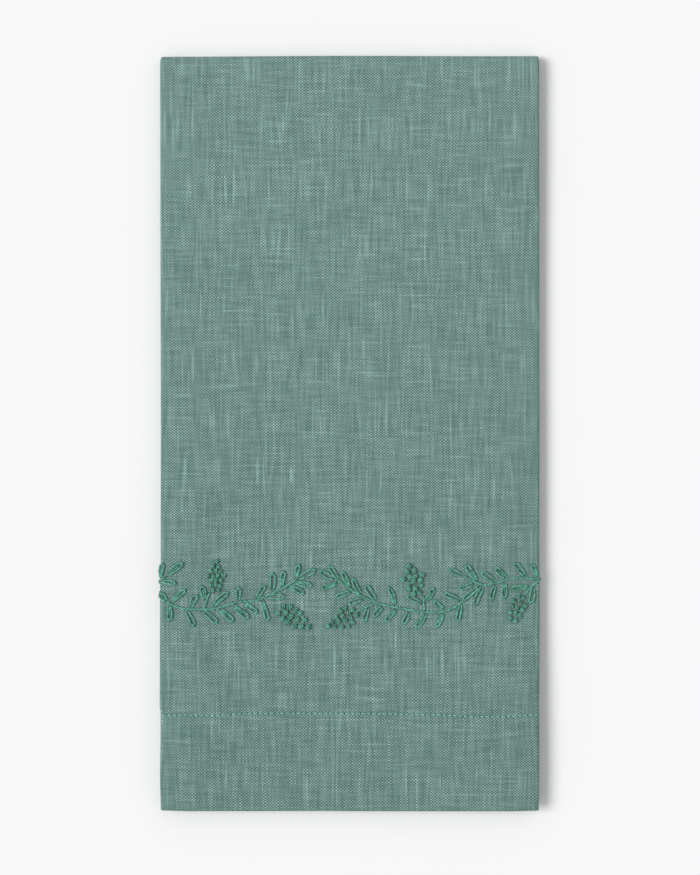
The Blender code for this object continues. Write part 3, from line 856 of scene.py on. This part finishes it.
def piece_dyed_linen():
    """Plain-woven linen, dyed in the piece and pressed: matt, every thread of its own shade, with slubs."""
    finish, tree, shader = new_finish("piece_dyed_linen", 0.9)
    shader.inputs["Specular IOR Level"].default_value = 0.25
    shader.inputs["Sheen Weight"].default_value = 0.08
    shader.inputs["Sheen Roughness"].default_value = 0.5
    cloth = add(tree, "ShaderNodeUVMap", {}, uv_map="cloth")

    # The threads lie a little closer here and wider there, each along its whole length.
    warp_lie = add(tree, "ShaderNodeVectorMath",
                   {0: cloth, 1: (1.0 / STRAY_WIDTH, 1.0 / STRAY_LENGTH, 0.0)}, operation="MULTIPLY")
    weft_lie = add(tree, "ShaderNodeVectorMath",
                   {0: cloth, 1: (1.0 / STRAY_LENGTH, 1.0 / STRAY_WIDTH, 0.0)}, operation="MULTIPLY")
    warp_stray = add(tree, "ShaderNodeTexNoise", {"Vector": warp_lie, "Scale": 1.0, "Detail": 1.0},
                     noise_dimensions="2D")
    weft_stray = add(tree, "ShaderNodeTexNoise", {"Vector": weft_lie, "Scale": 1.0, "Detail": 1.0},
                     noise_dimensions="2D")
    stray = add(tree, "ShaderNodeCombineXYZ", {"X": warp_stray, "Y": weft_stray})
    shift = add(tree, "ShaderNodeVectorMath", {0: stray, "Scale": THREAD_STRAY}, operation="SCALE")
    count = add(tree, "ShaderNodeVectorMath",
                {0: cloth, 1: (1.0 / WARP_PITCH, 1.0 / WEFT_PITCH, 0.0), 2: shift},
                operation="MULTIPLY_ADD")

    # Over and under: painted light and shade make the face lighter where a warp thread crosses on top,
    # darker where a weft one does.
    half_turns = add(tree, "ShaderNodeVectorMath", {0: count, "Scale": math.pi}, operation="SCALE")
    waves = add(tree, "ShaderNodeVectorMath", {0: half_turns}, operation="SINE")
    wave = add(tree, "ShaderNodeSeparateXYZ", {0: waves})
    over = add(tree, "ShaderNodeMath", {0: wave.outputs["X"], 1: wave.outputs["Y"]}, operation="MULTIPLY")

    # Every thread has its own shade, which drifts along it over some centimetres. The last of the three is
    # the mottle of unevenly spun flax, from crossing to crossing. Lighter threads stand out more in the
    # weave. A row has the noise's cells for each thread across and along, and the strength.
    shades = None
    for across, along, strength in (
            (0.60, WEFT_PITCH / WARP_DRIFT, WARP_STREAKS),
            (WARP_PITCH / WEFT_DRIFT, 0.50, WEFT_STREAKS),
            (0.80, 0.80, MOTTLE)):
        begin = (strength * SHADE_PLACE, SHADE_ROW, 0.0)
        run = add(tree, "ShaderNodeVectorMath", {0: count, 1: (across, along, 0.0), 2: begin},
                  operation="MULTIPLY_ADD")
        shade = add(tree, "ShaderNodeTexNoise",
                    {"Vector": run, "Scale": 1.0, "Detail": 1.0, "Roughness": 0.9}, noise_dimensions="2D")
        lighter = add(tree, "ShaderNodeMath", {0: shade, 1: strength, 2: -0.5 * strength},
                      operation="MULTIPLY_ADD")
        shades = add(tree, "ShaderNodeMath", {0: shades or 0.0, 1: lighter}, operation="ADD")
    contrast = add(tree, "ShaderNodeMath", {0: shades, 1: CONTRAST_SHARE, 2: WEAVE_PAINTED_LIGHT},
                   operation="MULTIPLY_ADD")
    weave = add(tree, "ShaderNodeMath", {0: over, 1: contrast, 2: MIDDLE_TONE}, operation="MULTIPLY_ADD")
    tone = add(tree, "ShaderNodeMath", {0: weave, 1: shades}, operation="ADD")

    # Fine slubs: here and there a thread is thicker and paler for a centimetre or so.
    for across, along, strength in (
            (0.90, WEFT_PITCH / WARP_SLUB, WARP_SLUB_TONE),
            (WARP_PITCH / WEFT_SLUB, 0.80, WEFT_SLUB_TONE)):
        begin = (across * SLUB_PLACE, SLUB_ROW, 0.0)
        run = add(tree, "ShaderNodeVectorMath", {0: count, 1: (across, along, 0.0), 2: begin},
                  operation="MULTIPLY_ADD")
        spin = add(tree, "ShaderNodeTexNoise", {"Vector": run, "Scale": 1.0, "Detail": 0.0},
                   noise_dimensions="2D")
        pale = add(tree, "ShaderNodeMapRange",
                   {"Value": spin, "From Min": SLUB_START, "From Max": SLUB_FULL, "To Max": strength})
        tone = add(tree, "ShaderNodeMath", {0: tone, 1: pale}, operation="ADD")

    # The thickest slubs, where a thread swells and takes less dye. They are palest in their middles.
    for across_mm, along_mm, half_width_mm, half_length_mm in SLUBS:
        middle = (across_mm * MM, along_mm * MM, 0.0)
        away = add(tree, "ShaderNodeVectorMath", {0: cloth, 1: middle}, operation="SUBTRACT")
        spread = add(tree, "ShaderNodeVectorMath",
                     {0: away, 1: (1.0 / (half_width_mm * MM), 1.0 / (half_length_mm * MM), 0.0)},
                     operation="MULTIPLY")
        distance = add(tree, "ShaderNodeVectorMath", {0: spread}, operation="LENGTH")
        from_middle = distance.outputs["Value"]
        swell = add(tree, "ShaderNodeMapRange",
                    {"Value": from_middle, "From Min": 1.0, "From Max": 0.4, "To Max": SLUB_TONE})
        tone = add(tree, "ShaderNodeMath", {0: tone, 1: swell}, operation="ADD")

    # The linen is darker towards its front end than over the rest.
    flat = add(tree, "ShaderNodeSeparateXYZ", {0: cloth})
    far = add(tree, "ShaderNodeMath", {0: flat.outputs["Y"], 1: TONE_ALONG, 2: -TONE_ALONG * TONE_EVEN},
              operation="MULTIPLY_ADD")
    far_limit = add(tree, "ShaderNodeMath", {0: far, 1: TONE_ALONG * TONE_REACH}, operation="MINIMUM")
    tone = add(tree, "ShaderNodeMath", {0: tone, 1: far_limit}, operation="ADD")
    colour = add(tree, "ShaderNodeValToRGB", {0: tone})
    ramp = colour.color_ramp
    ramp.elements[0].position = 0.0
    ramp.elements[0].color = linear(LINEN_SHADES[0])
    ramp.elements[1].position = 1.0
    ramp.elements[1].color = linear(LINEN_SHADES[-1])
    for number, shade in enumerate(LINEN_SHADES[1:-1], start=1):
        ramp.elements.new(number / (len(LINEN_SHADES) - 1)).color = linear(shade)

    # The needle left a hole at each end of each hem stitch; its shade is painted there as a dark spot.
    seam = add(tree, "ShaderNodeUVMap", {}, uv_map="seam")
    stitch = add(tree, "ShaderNodeVectorMath", {0: seam}, operation="FRACTION")
    hole_away = add(tree, "ShaderNodeVectorMath", {0: stitch, 1: (0.5, 0.5, 0.0)}, operation="SUBTRACT")
    seam_place = add(tree, "ShaderNodeSeparateXYZ", {0: seam})
    stitch_place = add(tree, "ShaderNodeSeparateXYZ", {0: hole_away})
    from_hole = add(tree, "ShaderNodeCombineXYZ",
                    {"X": stitch_place.outputs["X"], "Y": seam_place.outputs["Y"]})
    hole_distance = add(tree, "ShaderNodeVectorMath", {0: from_hole}, operation="LENGTH")
    hole = add(tree, "ShaderNodeMapRange",
               {"Value": hole_distance.outputs["Value"], "From Min": HOLE_EDGE, "From Max": HOLE_CORE})
    holes_painted_dark = add(tree, "ShaderNodeMix",
                  {"Factor": hole, "A": colour.outputs["Color"], "B": linear(HOLE_PAINTED_SHADE)}, data_type="RGBA")
    tree.links.new(holes_painted_dark.outputs["Result"], shader.inputs["Base Color"])
    crown = add(tree, "ShaderNodeMath", {0: over}, operation="ABSOLUTE")
    relief = add(tree, "ShaderNodeBump", {"Height": crown, "Strength": 0.25, "Distance": LINEN_RELIEF})
    tree.links.new(relief.outputs["Normal"], shader.inputs["Normal"])
    return finish


def stranded_cotton(name, shades, roughness, painted_shade_end):
    """Mercerised cotton thread of several strands: softly shiny, with fine lines along its twist.

    It has its full colour from the height given last, in millimetres off the cloth, upwards; below that a
    painted shade darkens it.
    """
    finish, tree, shader = new_finish(name, roughness)
    shader.inputs["Specular IOR Level"].default_value = 0.4
    shader.inputs["Sheen Weight"].default_value = 0.1
    thread = add(tree, "ShaderNodeUVMap", {}, uv_map="thread")
    wrap = add(tree, "ShaderNodeSeparateXYZ", {0: thread})

    # Its strands wind round it once in its turn.
    wound = add(tree, "ShaderNodeMath", {0: wrap.outputs["Y"], 1: -1.0 / PLY_TURN, 2: wrap.outputs["X"]},
                operation="MULTIPLY_ADD")
    strand_turn = add(tree, "ShaderNodeMath", {0: wound, 1: THREAD_STRANDS * 2.0 * math.pi},
                      operation="MULTIPLY")
    strand = add(tree, "ShaderNodeMath", {0: strand_turn}, operation="COSINE")

    # Painted shade: the thread's colour is lighter on its top and darker towards the cloth, on its
    # underside.
    top_turn = add(tree, "ShaderNodeMath", {0: wrap.outputs["X"], 1: 2.0 * math.pi}, operation="MULTIPLY")
    top = add(tree, "ShaderNodeMath", {0: top_turn}, operation="SINE")
    place = add(tree, "ShaderNodeTexCoord", {})
    spot = place.outputs["Object"]
    patches = add(tree, "ShaderNodeTexNoise",
                  {"Vector": spot, "Scale": COTTON_PATCHES, "Detail": 2.0, "Roughness": 0.6})
    patches_and_painted_shade = add(tree, "ShaderNodeMath", {0: top, 1: COTTON_PAINTED_SHADE, 2: patches}, operation="MULTIPLY_ADD")
    tone = add(tree, "ShaderNodeMath", {0: strand, 1: COTTON_STRAND, 2: patches_and_painted_shade}, operation="MULTIPLY_ADD")
    colour = add(tree, "ShaderNodeValToRGB", {0: tone})
    ramp = colour.color_ramp
    ramp.elements[0].position = 0.45
    ramp.elements[0].color = linear(shades[0])
    ramp.elements[1].position = 0.95
    ramp.elements[1].color = linear(shades[1])

    # Painted shade: low down, among its neighbours and where it goes into the cloth, the cotton's colour
    # is darker still.
    height = add(tree, "ShaderNodeUVMap", {}, uv_map="height")
    above = add(tree, "ShaderNodeSeparateXYZ", {0: height})
    out = add(tree, "ShaderNodeMapRange",
              {"Value": above.outputs["X"], "From Min": COTTON_PAINTED_SHADE_LOW, "From Max": painted_shade_end},
              interpolation_type="SMOOTHSTEP")
    painted_low_shade = add(tree, "ShaderNodeMix",
               {"Factor": out, "A": linear(shades[2]), "B": colour.outputs["Color"]}, data_type="RGBA")
    tree.links.new(painted_low_shade.outputs["Result"], shader.inputs["Base Color"])
    relief = add(tree, "ShaderNodeBump", {"Height": strand, "Strength": 0.35, "Distance": COTTON_RELIEF})
    tree.links.new(relief.outputs["Normal"], shader.inputs["Normal"])
    return finish


def painted_board():
    """A matt white studio board, so faintly uneven that only its soft light shows."""
    finish, tree, shader = new_finish("painted_board", 0.8)
    shader.inputs["Specular IOR Level"].default_value = 0.1
    place = add(tree, "ShaderNodeTexCoord", {})
    mottle = add(tree, "ShaderNodeTexNoise", {"Vector": place.outputs["Object"], "Scale": BOARD_PATCHES})
    colour = add(tree, "ShaderNodeMix",
                 {"Factor": mottle, "A": linear(BOARD_SHADES[0]), "B": linear(BOARD_SHADES[1])},
                 data_type="RGBA")
    tree.links.new(colour.outputs["Result"], shader.inputs["Base Color"])
    return finish


# The stage

PHOTO_SCALE = 0.0004697
FRAME_HEIGHT = 875 * PHOTO_SCALE
LENS = 100.0
SENSOR = 36.0

# The light's height, its turn from the left towards the towel's far end, and its width, in degrees.
SUN_HEIGHT = 49.0
SUN_TURN = 1.0
SUN_WIDTH = 30.0
SUN_STRENGTH = 2.17
SKY_STRENGTH = 0.56

# How far the camera stands from the towel's middle, so that the towel has its place in the frame.
CAMERA_RIGHT = 0.00013
CAMERA_UP = -0.0022

# The board's face is a hair above the towel's underside, so that the two faces don't lie in each other.
BOARD_HEIGHT = 0.00005
BOARD_SIZE = 12.0
BOARD_SHADES = ("#f0f0f0", "#f1f1f1")
BOARD_PATCHES = 30.0


def make_camera():
    """Straight above the towel, far enough for the photo's flat view."""
    lens = bpy.data.cameras.new("above")
    lens.lens = LENS
    lens.sensor_width = SENSOR
    camera = bpy.data.objects.new("above", lens)
    distance = LENS * FRAME_HEIGHT / SENSOR
    camera.location = (CAMERA_RIGHT, CAMERA_UP, towel_high.z + distance)
    bpy.context.scene.collection.objects.link(camera)
    bpy.context.scene.camera = camera


def make_stage():
    """A pale board under soft light from the left."""
    bpy.ops.mesh.primitive_plane_add(size=BOARD_SIZE)
    board = bpy.context.object
    board.name = "board"
    board.location.z = BOARD_HEIGHT
    board.data.materials.append(painted_board())
    lamp = bpy.data.lights.new("window", "SUN")
    lamp.energy = SUN_STRENGTH
    lamp.angle = math.radians(SUN_WIDTH)
    window = bpy.data.objects.new("window", lamp)
    height = math.radians(SUN_HEIGHT)
    turn = math.radians(SUN_TURN)
    level = math.cos(height)
    towards = Vector((-math.cos(turn) * level, math.sin(turn) * level, math.sin(height)))
    window.rotation_euler = towards.to_track_quat("Z", "Y").to_euler()
    bpy.context.scene.collection.objects.link(window)
    world = bpy.data.worlds.new("studio")
    world.use_nodes = True
    background = world.node_tree.nodes["Background"]
    background.inputs["Color"].default_value = (1.0, 1.0, 1.0, 1.0)
    background.inputs["Strength"].default_value = SKY_STRENGTH
    bpy.context.scene.world = world
    bpy.context.scene.view_settings.view_transform = "Standard"


def main():
    """Makes the stage, the towel and its sewing, hangs each piece on the body and hides the solid it
    replaces.
    """
    make_camera()
    make_stage()
    linen = piece_dyed_linen()
    garland_cotton = stranded_cotton("garland_cotton", GARLAND_COLOURS_AND_PAINTED_SHADE, roughness=0.55, painted_shade_end=0.7)
    seam_cotton = stranded_cotton("seam_cotton", SEAM_COLOURS_AND_PAINTED_SHADE, roughness=0.5, painted_shade_end=0.35)
    luck = random.Random(SEWING_SEED)
    towel = make_towel(linen)
    sewn = []
    for name, chart in SPRIGS.items():
        sewn.append((make_threads(name + "_sewing", sprig_stitches(chart, luck), garland_cotton), name))
    for row in CONES:
        sewn.append((make_threads(row[0] + "_knots", cone_knots(row, luck), garland_cotton), row[0]))
    seam = make_threads("hem_seam", hem_stitches(luck), seam_cotton)
    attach(towel, BODY)
    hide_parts("linen_towel")
    for piece, node in sewn:
        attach(piece, BODY)
        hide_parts(node)
    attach(seam, BODY)


main()
